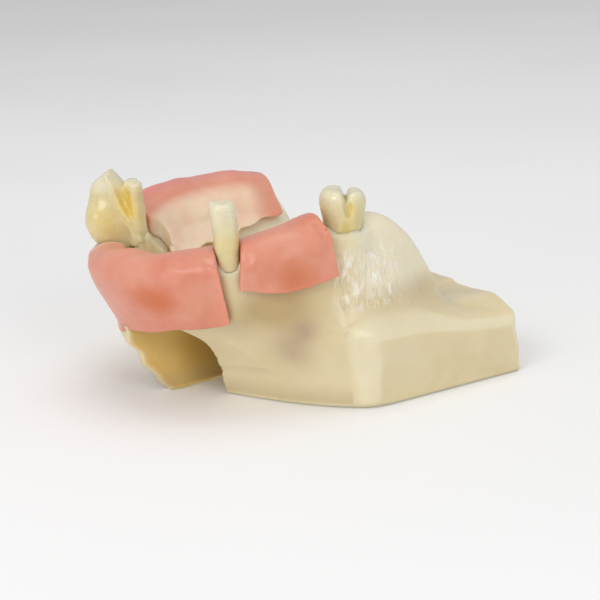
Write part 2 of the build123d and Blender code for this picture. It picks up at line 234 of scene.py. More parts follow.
def look_up(table, s, z):
    """Bilinear value of a table over S and Z."""
    a = (s + 10) / 20 * (S_COUNT - 1)
    i = np.clip(a.astype(np.int32), 0, S_COUNT - 2)
    u = (a - i).astype(FLOAT)
    b = (z - Z[0]) / Z_STEP
    j = np.clip(b.astype(np.int32), 0, len(Z) - 2)
    v = np.clip(b - j, 0, 1).astype(FLOAT)
    t = table.astype(FLOAT)
    return ((t[i, j] * (1 - u) + t[i + 1, j] * u) * (1 - v)
            + (t[i, j + 1] * (1 - u) + t[i + 1, j + 1] * u) * v)


def arch_of(x, y):
    """Arch position s, outward offset and distance past the arch's ends."""
    shape = x.shape
    x, y = x.ravel(), y.ravel()
    s, off, past = np.zeros((3, x.size))
    for first in range(0, x.size, 20000):
        part = slice(first, first + 20000)
        px, py = x[part], y[part]
        near = ((px[:, None] - ARCH_X[None, ::4]) ** 2
                + (py[:, None] - ARCH_Y[None, ::4]) ** 2).argmin(1) * 4
        ahead = (px - ARCH_X[near]) * TAN_X[near] + (py - ARCH_Y[near]) * TAN_Y[near]
        beyond = (near == 0) & (ahead < 0) | (near == S_COUNT - 1) & (ahead > 0)
        q = S[near]
        for _ in range(3):                     # slide along the curve to the nearest point
            cx, cy, tx, ty, speed = (np.interp(q, S, table)
                                     for table in (ARCH_X, ARCH_Y, TAN_X, TAN_Y, SPEED))
            move = ((px - cx) * tx + (py - cy) * ty) / speed * S_STEP
            q = np.clip(q + np.clip(move, -3 * S_STEP, 3 * S_STEP) * 0.9, -10, 10)
        cx, cy, nx, ny = (np.interp(q, S, table) for table in (ARCH_X, ARCH_Y, OUT_X, OUT_Y))
        s[part] = q
        off[part] = (px - cx) * nx + (py - cy) * ny
        past[part] = np.where(beyond, np.abs(ahead), (np.abs(q) - 10) * 8)
    return s.reshape(shape), off.reshape(shape), past.reshape(shape)


# ---------------------------------------------------------------- tooth frames and sockets
def tooth_frame(s, off, z, tip_out, tip_along=0.0):
    """Origin and axes: x outward, y along the arch (growing s), z up the tooth. Tips in degrees."""
    i = int(round((s + 10) / 20 * (S_COUNT - 1)))
    origin = np.array([ARCH_X[i] + OUT_X[i] * off, ARCH_Y[i] + OUT_Y[i] * off, z])
    out, along = np.array([OUT_X[i], OUT_Y[i], 0.0]), np.array([-OUT_Y[i], OUT_X[i], 0.0])
    z_axis = (np.array([0, 0, 1.0]) + out * math.tan(math.radians(tip_out))
              + along * math.tan(math.radians(tip_along)))
    z_axis /= np.linalg.norm(z_axis)
    x_axis = out - z_axis * out.dot(z_axis)
    x_axis /= np.linalg.norm(x_axis)
    return origin, np.array([x_axis, np.cross(z_axis, x_axis), z_axis])


# rings: height, half size outward, half size along the arch. power: squareness of the section
TEETH = {
    "left_premolar": dict(
        frame=tooth_frame(s=-2.05, off=-1.2, z=29.2, tip_out=2), power=2.2,
        rings=[(-9.0, 2.0, 1.6), (-4.0, 3.0, 2.3), (0.4, 4.6, 3.3), (2.0, 5.6, 3.9),
               (4.6, 6.35, 4.4), (7.5, 5.9, 4.4), (10.5, 5.3, 4.0), (12.8, 4.7, 3.2),
               (15.5, 3.6, 2.2)]),
    "right_canine": dict(
        frame=tooth_frame(s=3.18, off=1.35, z=29.5, tip_out=-2, tip_along=-4), power=2.4,
        rings=[(-11.0, 0.9, 0.9), (-6.5, 1.15, 1.15), (-3.6, 1.35, 1.35), (-1.6, 2.2, 1.75),
               (-0.9, 2.6, 2.0), (0.6, 2.8, 2.12), (2.6, 2.9, 2.28), (5.0, 3.0, 2.5),
               (8.5, 3.1, 2.6), (11.0, 3.0, 2.6), (12.8, 2.5, 2.4)]),
    "right_molar": dict(
        frame=tooth_frame(s=6.02, off=0.9, z=33.4, tip_out=2), power=2.4,
        rings=[(-6.0, 2.8, 2.4), (-3.0, 3.2, 3.0), (-1.0, 3.5, 3.4), (0.6, 3.6, 3.55),
               (2.2, 3.65, 3.7), (4.0, 3.9, 4.0), (6.0, 4.2, 4.45), (8.6, 4.1, 4.4)]),
}


def tooth_local(points, name):
    origin, axes = TEETH[name]["frame"]
    return xyz((points - origin.astype(FLOAT)) @ axes.T.astype(FLOAT))


def ring_field(name, x, y, z, grow=0.0, power=None):
    """Side of the form drawn through a tooth's rings, in the tooth's frame."""
    power = power or TEETH[name]["power"]
    heights, outs, alongs = np.array(TEETH[name]["rings"]).T
    fine = np.linspace(heights[0], heights[-1], 200)
    a, b = (np.interp(z, fine, smooth(np.interp(fine, heights, half), 9.0, 0)).astype(FLOAT)
            + grow for half in (outs, alongs))
    radius = (np.abs(x / a) ** power + np.abs(y / b) ** power) ** (1 / power)
    return (radius - 1) * np.minimum(a, b)


def tooth_bottom(name):
    return TEETH[name]["rings"][0][0]


def socket_field(points, name):
    """Hollow for a tooth's root, going on up through its crown."""
    x, y, z = tooth_local(points, name)
    tight = 0.12                               # the socket is this much smaller than the tooth
    side = ring_field(name, x, y, z, grow=-tight)
    return round_meet(side, tooth_bottom(name) + tight - 0.1 - z, 0.8)


def canine_bend(y, z):
    return y + 0.20 + 0.10 * np.sin(z * 0.6)


def crown_gap(points, name):
    """Crown outline above the neck, a little larger than the tooth."""
    x, y, z = tooth_local(points, name)
    if name == "right_canine":
        y = canine_bend(y, z)
    return np.maximum(ring_field(name, x, y, z, grow=0.12), -1.2 - z)


# ---------------------------------------------------------------- sinus cavities
SINUS_CENTRE = (24.2, 8.6)                     # |x|, y
# Outline at the base: |x|, y
SINUS = np.array([(14.8, 8), (16.2, -4.5), (22.6, -5.4), (29.4, -0.6),
                  (32.4, 9), (31.0, 19.5), (24, 24.0), (16.8, 20.0)])


def sinus_outline():
    """The outline as radius against angle round its centre."""
    curve = []
    for i in range(8):
        around = SINUS[(i + np.arange(-1, 3)) % 8]
        curve += [catmull(*around, u) for u in np.linspace(0, 1, 24, endpoint=False)]
    curve = np.array(curve) - SINUS_CENTRE
    angle, radius = np.arctan2(curve[:, 1], curve[:, 0]), np.hypot(curve[:, 0], curve[:, 1])
    order = np.argsort(angle)
    angle, radius = angle[order], radius[order]
    even = np.linspace(-math.pi, math.pi, 361)
    wrapped = np.r_[angle[-1] - 2 * math.pi, angle, angle[0] + 2 * math.pi]
    return even, np.interp(even, wrapped, np.r_[radius[-1], radius, radius[0]])


SINUS_ANGLE, SINUS_RADIUS = sinus_outline()


def sinus_field(points):
    """Cavities open underneath and narrowing upward."""
    x, y, z = xyz(points)
    narrowing = 1.0 - 0.24 * np.clip(z, 0, 30) / SINUS_TOP
    u, v = (np.abs(x) - SINUS_CENTRE[0]) / narrowing, (y - SINUS_CENTRE[1]) / narrowing
    limit = np.interp(np.arctan2(v, u), SINUS_ANGLE, SINUS_RADIUS).astype(FLOAT)
    return round_meet((np.hypot(u, v) - limit) * narrowing * 0.97, z - SINUS_TOP, 4.6)


# ---------------------------------------------------------------- cast body
# Front edge of the septum: height, y
SEPTUM_Z = [-1, 0.5, 1.4, 2.4, 4.0, 5.2, 6.4, 8.0, 9.4, 10.6, 11.8, 13.0, 15.5, 17.5]
SEPTUM_Y = [-24.8, -25.1, -26.2, -26.9, -27.8, -29.0, -30.2, -30.5, -31.0, -32.4, -33.2, -33.6,
            -34.0, -33.0]
# Top of the base block along its sides: y, height
BLOCK_Y = [-2, 2, 6, 11, 16, 24, 31, 38.3]
BLOCK_TOP = [15.6, 15.6, 15.5, 15.3, 14.9, 13.7, 12.6, 11.9]


def septum_front(z):
    return np.interp(z, SEPTUM_Z, SEPTUM_Y)


def buttress_parts(x, y):
    """For each stretch of the buttress: distance from its line, top height, half thickness."""
    for a, b, radius in zip(BUTTRESS[:-1], BUTTRESS[1:], BUTTRESS_RADII):
        e = b - a
        t = ((x - a[0]) * e[0] + (y - a[1]) * e[1]) / (e[0] ** 2 + e[1] ** 2)
        t = np.clip(t, 0, 1)
        yield np.hypot(x - a[0] - t * e[0], y - a[1] - t * e[1]), a[2] + t * e[2], radius


def add_roots(ridge, points):
    """Swellings of the ridge over the canine root and round the molar."""
    x, y, z = tooth_local(points, "right_canine")
    h = np.clip(z, -9.0, 1.0)
    root = np.sqrt((x - 0.5 - 0.09 * (h + 1)) ** 2 + (y + 0.2) ** 2 + (z - h) ** 2) - 2.35
    root = np.maximum(root, (z + 0.95) * 0.9)
    ridge = soft_join(ridge, root, np.interp(z, [-9, -1], [2.6, 0.9]).astype(FLOAT))
    x, y, z = tooth_local(points, "right_molar")
    h = np.clip(z, -6.0, -1.6)
    root = np.sqrt((x - 1.3 - 0.05 * h) ** 2 + (y * 0.9) ** 2 + (z - h) ** 2) - 3.6
    ridge = soft_join(ridge, root, 1.8)
    collar = ring_field("right_molar", x, y, z, grow=0.7, power=2.6)
    return soft_join(ridge, meet(collar, z - 0.1, -6 - z), 1.3)


def wall_field(x, y, x0, y0, x1, y1):
    """Distance in front of the upright wall through two points."""
    nx, ny = y1 - y0, -(x1 - x0)
    return ((x - x0) * nx + (y - y0) * ny) / np.hypot(nx, ny)


def block_field(x, y, z):
    """Base block: two front walls each side, leaning outward going up, and a low crowned top."""
    wide = np.abs(x)
    lean = np.clip(z / 11.5, -0.2, 1.25)
    corner_x, corner_y = 10 + 4.0 * lean, -16.7 - 3.8 * lean
    side_wall = wall_field(wide, y, corner_x, corner_y, HALF_WIDTH, 0.8)
    middle_wall = wall_field(wide, y, 1.6, -24.8 - 5.4 * lean, corner_x, corner_y)
    front = round_meet(side_wall, middle_wall, 3.0)
    front = front + (1.0 + 0.3 * ramp(3, 9, z)) * bell(wide, 24, 7.5)     # hollow in the wall
    edge = np.interp(y, BLOCK_Y, BLOCK_TOP).astype(FLOAT)
    inner = 14.7 - 0.4 * ramp(24, 14, wide) + 0.15 * np.sin(wide * 0.5)
    top = inner + (edge - inner) * ramp(27.5, 38.0, wide)
    return round_meet(front, (z - top), 2.4)


def bone_field(points, arch=None):
    """The cast before anything is cut from it; roughly a distance in mm.
    arch: (s, off, past) where already known."""
    x, y, z = xyz(points)
    wide = np.abs(x)
    arch = arch if arch is not None else arch_of(x, y)
    s, off, past = (np.broadcast_to(q, z.shape).astype(FLOAT) for q in arch)
    # ridge
    out_slope, in_slope = look_up(OUTER_SLOPE, s, z), look_up(INNER_SLOPE, s, z)
    outer = (off - look_up(OUTER, s, z)) / np.sqrt(1 + out_slope * out_slope)
    inner = (look_up(INNER, s, z) - off) / np.sqrt(1 + in_slope * in_slope)
    crest = np.interp(s, S, CREST).astype(FLOAT)
    top = z - crest + 0.035 * (off - 0.5) ** 2 * (np.abs(off) < 9)
    ridge = np.maximum(round_meet(round_meet(outer, inner, 1.0), top, 3.0), past)
    ridge = add_roots(ridge, points)
    for away, top, radius in buttress_parts(x, y):
        part = np.maximum(np.hypot(away, np.maximum(z - top, 0)) - radius, 18.5 - z)
        ridge = soft_join(ridge, part, 1.4)
    body = soft_join(ridge, block_field(x, y, z), 3.2)
    # palate vault
    vault = PALATE_Z + 2.4 * bell(y, -20, 8) \
        + 0.014 * np.minimum(wide, 13) ** 2 * (1 - ramp(6, 26, y)) - 3.4 * ramp(6, 34, y)
    palate = meet(z - vault, off + 3.0, outer + 0.5, 8.5 - z,
                  (wide - 22.0 + 0.35 * np.maximum(y - 14, 0)) * 0.9)
    body = soft_join(body, palate, 3.4)
    # low swells, then the flat rear and sides
    body = body + 0.28 * layered_noise(points, 7.0, 3, 2) - 0.10
    body = soft_meet(body, y - REAR_Y, 0.9)
    return round_meet(body, wide - HALF_WIDTH, 1.1 + 1.9 * ramp(4, 10, z))


def body_field(points, arch):
    """The cast with nose, sinuses and sockets cut out."""
    body = bone_field(points, arch)
    x, y, z = xyz(points)
    # nose, with the septum standing on the midline
    wobble = 0.35 * layered_noise(points, 4.5, 8, 2)
    flare = np.interp(z, [0, 3, 9, 13, 16], [0, 0.4, 2.4, 3.5, 3.5]).astype(FLOAT)
    flare = flare * ramp(-12, -19, y)
    nose = round_meet(np.abs(x) - 10.2 - flare + wobble,
                      z - 14.6 - 1.9 * ramp(-19, -25, y) + wobble, 5.0)
    nose = round_meet(nose, y - 14.0, 4.0)
    web = np.abs(x + 0.25 * np.sin(y * 0.35) - 0.1 + 0.012 * (y + 10)) - 1.05 \
        - 0.9 * bell(z, 14.5, 2.2)
    nose = np.maximum(nose, -web)
    body = soft_meet(body, -nose, 0.6)
    # stepped front of the septum and the sill beside it
    front = septum_front(z)
    step = np.maximum(y - front + 0.25 * layered_noise(points, 2.2, 5, 2), z - 13.4)
    body = soft_meet(body, -step, 0.5)
    rib = meet(web, front - y + 0.2 * layered_noise(points, 1.8, 6, 2), z - 15.6, y - 14.0)
    body = soft_join(body, rib, 0.7)
    body = soft_meet(body, -sinus_field(points), 0.3)
    for name in TEETH:
        body = np.maximum(body, -socket_field(points, name))
    return soft_meet(body, -z, 0.35)


# ---------------------------------------------------------------- teeth (x out, y along, z up)
def premolar_shape(x, y, z):
    """Crown with a high cheek cusp and a low palate cusp; y points to the midline."""
    lean = 0.45 - 0.05 * np.maximum(z - 4, 0)
    side = ring_field("left_premolar", x - lean, y, z)
    face = y - (4.1 - 0.16 * np.maximum(z - 5.0, 0) + 0.02 * x)      # flatter midline side
    tooth = round_meet(side, face, 1.2)
    cheek_cusp = 14.9 - 0.72 * np.maximum(x - 0.9, 0) - 1.25 * np.maximum(0.9 - x, 0) \
        - 0.10 * y ** 2
    palate_cusp = 12.7 - 1.5 * np.maximum(np.abs(x + 4.3) - 1.5, 0) - 0.08 * y ** 2
    cap = (z - soft_meet(cheek_cusp, palate_cusp, 0.25)) * 0.62
    tooth = round_meet(tooth, cap, 0.35)
    # ovoid swelling low on the cheek half of the midline side
    swell = np.sqrt(((x - 2.4) / 3.9) ** 2 + ((y - 2.3) / 2.5) ** 2 + ((z - 4.3) / 4.8) ** 2) - 1
    tooth = soft_join(tooth, swell * 2.5, 1.0)
    # sharp ridge from the cheek cusp down towards the palate, with a hollow inward of it
    drop = np.clip((14.2 - z) / 14.2, 0, 1)
    ridge_x = 0.6 - 5.9 * drop ** 1.5
    ridge = np.sqrt(((x - ridge_x) * 0.92) ** 2 + (y - 3.4 + 0.9 * (1 - drop)) ** 2) - 0.62
    ridge = meet(ridge, z - 14.2, 0.4 - z)
    hollow = np.sqrt(((x - (ridge_x - 2.35)) / 2.45) ** 2 + ((y - 4.7) / 3.0) ** 2
                     + ((z - 8.6) / 5.0) ** 2) - 1
    tooth = soft_meet(tooth, -hollow * 2.2, 0.7)
    tooth = soft_join(tooth, ridge, 0.5)
    # pillar of the palate cusp
    pillar = np.sqrt((x + 5.0 - 0.5 * ramp(4, 0, z)) ** 2 + (y - 2.0) ** 2 * 0.8) - 1.35 \
        - 0.5 * ramp(5, 0, z)
    tooth = soft_join(tooth, meet(pillar, z - 12.2, -0.6 - z), 0.9)
    return np.maximum(tooth, cap)


def canine_shape(x, y, z):
    side = ring_field("right_canine", x, canine_bend(y, z), z)
    tooth = round_meet(side, (z - 12.5 - 0.22 * np.cos(x * 1.3) + 0.10 * y), 1.0)
    # shallow hollow on the cheek face, fine line round the neck
    hollow = np.exp(-((y - 0.5) / 0.8) ** 2 - ((z - 9.0) / 2.2) ** 2) * ramp(0, 2, x)
    return tooth + 0.22 * hollow + 0.10 * bell(z, -0.8, 0.25)


def molar_axes(x, y):
    """u: towards the front cheek corner; w: across it, from the groove between the lobes."""
    return 0.878 * x - 0.478 * y, 0.478 * x + 0.878 * y - 0.45


def molar_shape(x, y, z):
    """Two rounded lobes divided by a deep groove."""
    side = ring_field("right_molar", x, y, z)
    u, w = molar_axes(x, y)
    top = np.where(w < 0, 9.25 - 0.085 * np.abs(w + 2.5) ** 2.3,
                   8.75 - 0.14 * np.abs(w - 2.0) ** 2.3) - 0.035 * u ** 2
    valley = 1.2 * bell(w, 0, 0.55) + 0.25 * bell(u, 0, 1.2)
    tooth = round_meet(side, (z - top + valley) * 0.8, 1.1)
    groove = np.hypot(w + 0.17 * (z - 8), (np.abs(u) - 4.7) * 0.6) - 0.85
    tooth = soft_meet(tooth, -np.maximum(groove, (4.0 - z) * 0.6), 0.4)
    # pits under the groove: w, u, u scale, z, half height, radius, blend
    for pit_w, pit_u, flat, pit_z, half, radius, blend in (
            (0.9, 4.6, 0.7, 5.6, 1.6, 1.0, 0.5), (0.2, 4.7, 0.75, 1.7, 1.3, 1.1, 0.8)):
        pit = np.sqrt((w - pit_w) ** 2 + ((u - pit_u) * flat) ** 2
                      + ((z - pit_z) / half) ** 2) - radius
        tooth = soft_meet(tooth, -pit, blend)
    return tooth


def tooth_field(points, name, shape):
    x, y, z = tooth_local(points, name)
    below = tooth_bottom(name) - z
    tooth = round_meet(np.maximum(shape(x, y, z), below), below, 0.8)
    return tooth + 0.05 * layered_noise(points, 1.6, 21, 2)


# ---------------------------------------------------------------- gum pads and membranes
# Each edge function returns the field of the pad's outline, and its extra thickness.
def anterior_edge(points, s, off):
    z = points[..., 2]
    low = np.interp(s, [-2.6, -2.1, -1.5, -0.5, 0.5, 1.5, 2.1, 2.6, 3.1],
                    [16.0, 14.2, 12.8, 13.6, 14.6, 16.0, 16.8, 17.7, 19.0])
    low = low + 0.35 * np.sin(s * 3.1) * np.cos(s * 1.3)
    right_end = 2.82 + 0.020 * np.clip(33 - z, 0, 20)
    left_end = -2.62 + 0.5 * ramp(18.0, 14.5, z)
    inner = -3.2 - 0.3 * np.sin(s * 2.1)
    edge = meet((s - right_end) * MM_PER_S, (left_end - s) * MM_PER_S, low - z,
                (inner - off) * 0.8)
    # notch behind the outer skin, where the premolar stands
    px, py, pz = tooth_local(points, "left_premolar")
    edge = soft_meet(edge, -meet(px - 4.45, py - 3.9, -6.0 - pz), 0.6)
    side = ring_field("left_premolar", px, py, pz, grow=0.3)
    edge = meet(edge, -np.maximum(side, -1.0 - pz), -crown_gap(points, "right_canine"))
    return edge, -1.2 * ramp(27.0, 30.5, z) * ramp(0.4, -0.8, s)


def right_edge(points, s, off):
    z = points[..., 2]
    low = np.interp(s, [3.3, 3.9, 4.4, 4.9, 5.5], [25.6, 24.7, 24.6, 25.3, 26.7])
    front_end = np.interp(z, [25, 31, 36], [3.33, 3.38, 3.45])
    rear_end = np.interp(z, [27, 33, 38], [5.54, 5.45, 5.33])
    crest = np.interp(s, S, CREST)
    inner = np.where(off < -2, crest - 4.0 + 0.25 * np.sin(s * 4.1) - z, -7.0 - off)
    edge = meet(np.maximum(s - rear_end, front_end - s) * MM_PER_S, low - z, inner,
                (-4.4 - off) * 0.8, -crown_gap(points, "right_canine"),
                -crown_gap(points, "right_molar"))
    return edge, 0.75 * ramp(4.6, 5.35, s) * ramp(31, 35, z)


def left_edge(points, s, off):
    x, y, z = xyz(points)
    front = s + 3.0 - 0.10 * ramp(-3.0, -6.0, off)
    rear = -7.74 - 0.03 * np.clip(37 - z, 0, 14) - s
    low_inner = np.interp(s, [-8.2, -7.4, -6.7, -5.6, -4.3, -3],
                          [27.6, 27.3, 26.2, 25.1, 24.2, 23.6])
    low_inner = low_inner + 0.35 * np.sin(s * 5.1) * np.sin(s * 2.3)
    edge = meet(np.maximum(front, rear) * MM_PER_S, np.where(off > 0, 20.0 - z, low_inner - z))
    for away, _, radius in buttress_parts(x, y):
        edge = np.maximum(edge, radius + 1.1 - away)
    return edge, 0.0


def pad_field(points, axes, edge_of):
    """A gum saddle: a skin on the ridge within its outline."""
    arch = columns(axes)
    bone = bone_field(points, arch)
    gx, gy, gz = np.gradient(bone, axes[0][1] - axes[0][0])
    bone = bone / np.clip(np.sqrt(gx * gx + gy * gy + gz * gz), 0.6, 1.6)
    s, off = (np.broadcast_to(q, bone.shape) for q in arch[:2])
    edge, extra = edge_of(points, s, off)
    thickness = PAD_THICKNESS + 0.22 * layered_noise(points, 6.0, 31, 2) + extra
    return np.maximum(round_meet(bone - thickness, edge, 0.38), 0.06 - bone)


def membrane_field(points, side):
    """Lining of one sinus, open underneath. side: 1 right, -1 left."""
    sinus = sinus_field(points)
    return meet(sinus + 0.15, -(sinus + 1.05),
                4.6 + 0.5 * layered_noise(points, 4.0, 17, 2) - points[..., 2],
                -side * points[..., 0])


# ---------------------------------------------------------------- meshing
def grid(low, high, step):
    axes = [np.arange(a, b + step, step, dtype=FLOAT) for a, b in zip(low, high)]
    return np.stack(np.meshgrid(*axes, indexing="ij"), -1), axes


def columns(axes):
    """Arch coordinates of a grid's upright columns."""
    x, y = np.meshgrid(axes[0], axes[1], indexing="ij")
    return tuple(q[..., None] for q in arch_of(x.astype(float), y.astype(float)))


def surface_nets(field, origin, step):
    """Vertices in mm and quads where the field changes sign."""
    inside = field < 0
    nx, ny, nz = field.shape
    corners = list(itertools.product((0, 1), repeat=3))
    count = np.zeros((nx - 1, ny - 1, nz - 1), np.int8)
    for a, b, c in corners:
        count += inside[a:nx - 1 + a, b:ny - 1 + b, c:nz - 1 + c]
    active = (count > 0) & (count < 8)
    cells = np.argwhere(active)
    index = np.full(active.shape, -1, np.int64)
    index[active] = np.arange(len(cells))
    # each vertex is the mean of the crossings on its cell's edges
    total, hits = np.zeros((len(cells), 3)), np.zeros(len(cells))
    for corner in corners:
        for axis in range(3):
            if corner[axis]:
                continue
            end = list(corner)
            end[axis] = 1
            va, vb = field[tuple((cells + corner).T)], field[tuple((cells + end).T)]
            cross = (va < 0) != (vb < 0)
            place = np.tile(np.array(corner, float), (cross.sum(), 1))
            place[:, axis] += va[cross] / (va[cross] - vb[cross])
            total[cross] += place
            hits[cross] += 1
    verts = np.asarray(origin) + step * (cells + total / hits[:, None])
    # each crossed grid edge gives a quad between the four cells round it
    quads = []
    for axis in range(3):
        low = [slice(1, n - 1) for n in field.shape]
        high = list(low)
        low[axis], high[axis] = slice(0, field.shape[axis] - 1), slice(1, field.shape[axis])
        first, second = inside[tuple(low)], inside[tuple(high)]
        flips = ~first[first != second]
        base = np.argwhere(first != second) + 1
        base[:, axis] -= 1
        around = []
        for da, db in ((-1, -1), (0, -1), (0, 0), (-1, 0)):
            cell = base.copy()
            cell[:, (axis + 1) % 3] += da
            cell[:, (axis + 2) % 3] += db
            around.append(index[tuple(cell.T)])
        faces = np.stack(around, 1)
        faces[flips] = faces[flips][:, ::-1]
        quads.append(faces)
    quads = np.concatenate(quads)
    return verts, quads[(quads >= 0).all(1)]


def largest(verts, quads):
    """Keeps the biggest connected shell."""
    label = np.arange(len(verts))
    while True:
        lowest = label[quads].min(1)
        new = label.copy()
        for k in range(4):
            np.minimum.at(new, quads[:, k], lowest)
        new = new[new]
        if (new == label).all():
            break
        label = new
    names, counts = np.unique(label[quads[:, 0]], return_counts=True)
    keep = label == names[counts.argmax()]
    renumber = np.cumsum(keep) - 1
    return verts[keep], renumber[quads[keep[quads[:, 0]]]]


def relax(verts, quads, passes):
    """Light smoothing; each inward move is followed by an outward one to keep the volume."""
    for weight in (0.5, -0.52) * passes:
        total, count = np.zeros_like(verts), np.zeros(len(verts))
        for a in range(4):
            for b in ((a + 1) % 4, (a + 3) % 4):
                np.add.at(total, quads[:, a], verts[quads[:, b]])
                np.add.at(count, quads[:, a], 1)
        verts = verts + weight * (total / np.maximum(count, 1)[:, None] - verts)
    return verts


def mesh_of(field, axes, passes):
    step = float(axes[0][1] - axes[0][0])
    verts, quads = largest(*surface_nets(field, [axis[0] for axis in axes], step))
    return relax(verts, quads, passes), quads


def normals(verts, quads):
    a, b, c, d = (verts[quads[:, k]] for k in range(4))
    face = np.cross(c - a, d - b)
    out = np.zeros_like(verts)
    for k in range(4):
        np.add.at(out, quads[:, k], face)
    return out / np.maximum(np.linalg.norm(out, axis=1), 1e-9)[:, None]


def add_object(name, mesh):
    ob = bpy.data.objects.new(name, mesh)
    bpy.context.scene.collection.objects.link(ob)
    return ob


def make_piece(name, verts, quads, body, node, masks):
    """Adds a smooth mesh with its masks as point attributes, in place of a CAD node."""
    mesh = bpy.data.meshes.new(name)
    mesh.from_pydata([tuple(p) for p in (verts * MM).tolist()], [], quads.tolist())
    mesh.update()
    for face in mesh.polygons:
        face.use_smooth = True
    for key, values in masks.items():
        attribute = mesh.attributes.new(key, "FLOAT", "POINT")
        attribute.data.foreach_set("value", np.asarray(values, FLOAT))
    ob = add_object(name, mesh)
    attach(ob, body)
    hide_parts(node)
    return ob


# ---------------------------------------------------------------- pieces
def body_relief(verts, s, off, free):
    """Height of the surface relief, with the wrinkle mask and pattern. free: not a flat face."""
    x, y, z = verts.T
    back = np.abs(s)
    # wrinkled skin on the cheek side of the rear ridge, tighter behind the right pad
    wide = ramp(5.45, 5.8, back) * (1 - ramp(8.3, 9.0, back)) * ramp(16.0, 20.0, z) \
        * ramp(0.5, 3.0, off) * free
    wide = wide * np.where(s > 0, 1.0, ramp(8.1, 8.3, back))
    tight = ramp(5.40, 5.58, back) * (1 - ramp(6.6, 7.5, back)) * ramp(18.5, 21.0, z) \
        * (1 - ramp(28.0, 33.0, z)) * ramp(1.5, 3.5, off) * (s > 0)
    wrinkle = np.clip(tight + 0.16 * wide, 0, 1)
    skewed = np.stack([s * MM_PER_S + 0.35 * z, z - 0.15 * s * MM_PER_S, off * 0.3], -1)
    creases = 1.0 - 2.0 * np.abs(value_noise(skewed, (1.5, 3.4, 6.0), 40)) ** 0.7 \
        + 0.6 * value_noise(skewed, (0.9, 2.2, 6.0), 41)
    grain = layered_noise(verts, 2.6, 43, 2)
    swell = layered_noise(verts, 5.0, 44, 2)
    lumps = spot(verts, (33.5, -2.5, 15.5), 5.0) * free
    # cross ridges and the midline ridge of the palate
    palate = ramp(-4.5, -7, off) * ramp(14, 16, z) * free * (np.abs(y) < 30)
    rugae = np.sin((y + 26 + 0.5 * np.abs(x)) * 2 * math.pi / 3.4 + 2.4 * swell) * palate \
        * ramp(-6, -14, y) * ramp(0.8, 2.2, np.abs(x)) * ramp(13, 9, np.abs(x))
    raphe = bell(x, 0, 0.7) * palate * ramp(-25, -20, y)
    relief = wrinkle * (0.20 * creases + 0.20 * grain) \
        + lumps * 0.30 * layered_noise(verts, 2.4, 45, 2) \
        + 0.06 * swell * free + 0.28 * rugae + 0.35 * raphe
    return relief, wrinkle, creases


def build_body():
    points, axes = grid((-37.9, -38.5, -0.9), (37.9, 39.2, 40.5), BODY_STEP)
    smooth_verts, quads = mesh_of(body_field(points, columns(axes)), axes, passes=1)
    normal = normals(smooth_verts, quads)
    x, y, z = smooth_verts.T
    s, off, _ = arch_of(x, y)
    side_gap = np.abs(np.abs(x) - HALF_WIDTH)
    free = ~((side_gap < 3.0) | (np.abs(y - REAR_Y) < 0.8) | (z < 0.8))
    relief, wrinkle, creases = body_relief(smooth_verts, s, off, free)
    verts = smooth_verts + normal * relief[:, None]
    verts[:, 0] = np.clip(verts[:, 0], -HALF_WIDTH, HALF_WIDTH)
    verts[:, 1] = np.minimum(verts[:, 1], REAR_Y)
    verts[:, 2] = np.maximum(verts[:, 2], 0)

    # colour masks, among them painted highlights and painted shade
    cavity = sinus_field(verts.astype(FLOAT))      # how close a cavity is behind the skin
    purple = np.exp(-np.maximum(cavity - 1.2, 0) / 1.6) * ((normal[:, 2] > -0.3) & (z > 2.5)) \
        * (~(side_gap < 1.0)) * ramp(5, 9, z)
    purple = np.clip(0.8 * purple + 0.9 * spot(verts, (27.6, -11.5, 12.2), 3.8)
                     + 0.9 * spot(verts, (29.9, -9.7, 16.6), 2.6), 0, 1) * ramp(25, 21, z)
    nose = ramp(1.0, 2.5, 11.6 - np.abs(x)) * ramp(16.5, 14.8, z) * (y < 16) \
        * ramp(-0.2, 0.6, (y - septum_front(z)) / 3)
    tan = np.clip(spot(verts, (28, -12.5, 21.5), 6.0) + 0.6 * spot(verts, (25, -17, 21), 4.0)
                  + 0.5 * spot(verts, (21, -22, 20), 4.0), 0, 1)
    sideways = np.abs(normal[:, 0])
    masks = dict(
        purple=purple, nose=nose, inside=ramp(0.8, -0.4, cavity) * (z < 23.5), tan=tan,
        # painted highlight on the rounded edges beside the flat side faces
        painted_rim_highlight=ramp(0.55, 0.75, sideways) * ramp(0.998, 0.97, sideways)
        * ramp(3.2, 1.6, side_gap) * ramp(0.4, 1.4, z),
        # painted highlight: paler towards the top of the rear ridge
        painted_rear_highlight=ramp(5.6, 6.4, np.abs(s)) * ramp(19, 25, z), wrinkle=wrinkle,
        # crest: mask for the painted highlight streaks on the wrinkle crests
        panel=(side_gap < 0.3) * 1.0, crest=np.clip(0.5 + 0.9 * creases, 0, 1) * wrinkle,
        # foot: painted shade, darker towards the base
        foot=ramp(6.0, 0.5, z) * free)
    return make_piece("jaw_casting", verts, quads, "jaw", "maxilla_body", masks)


def skin_noise(verts, s, off, scale, seed):
    """Noise on the ridge unrolled along the arch."""
    return value_noise(np.stack([s * MM_PER_S, verts[:, 2], off], -1), scale, seed)


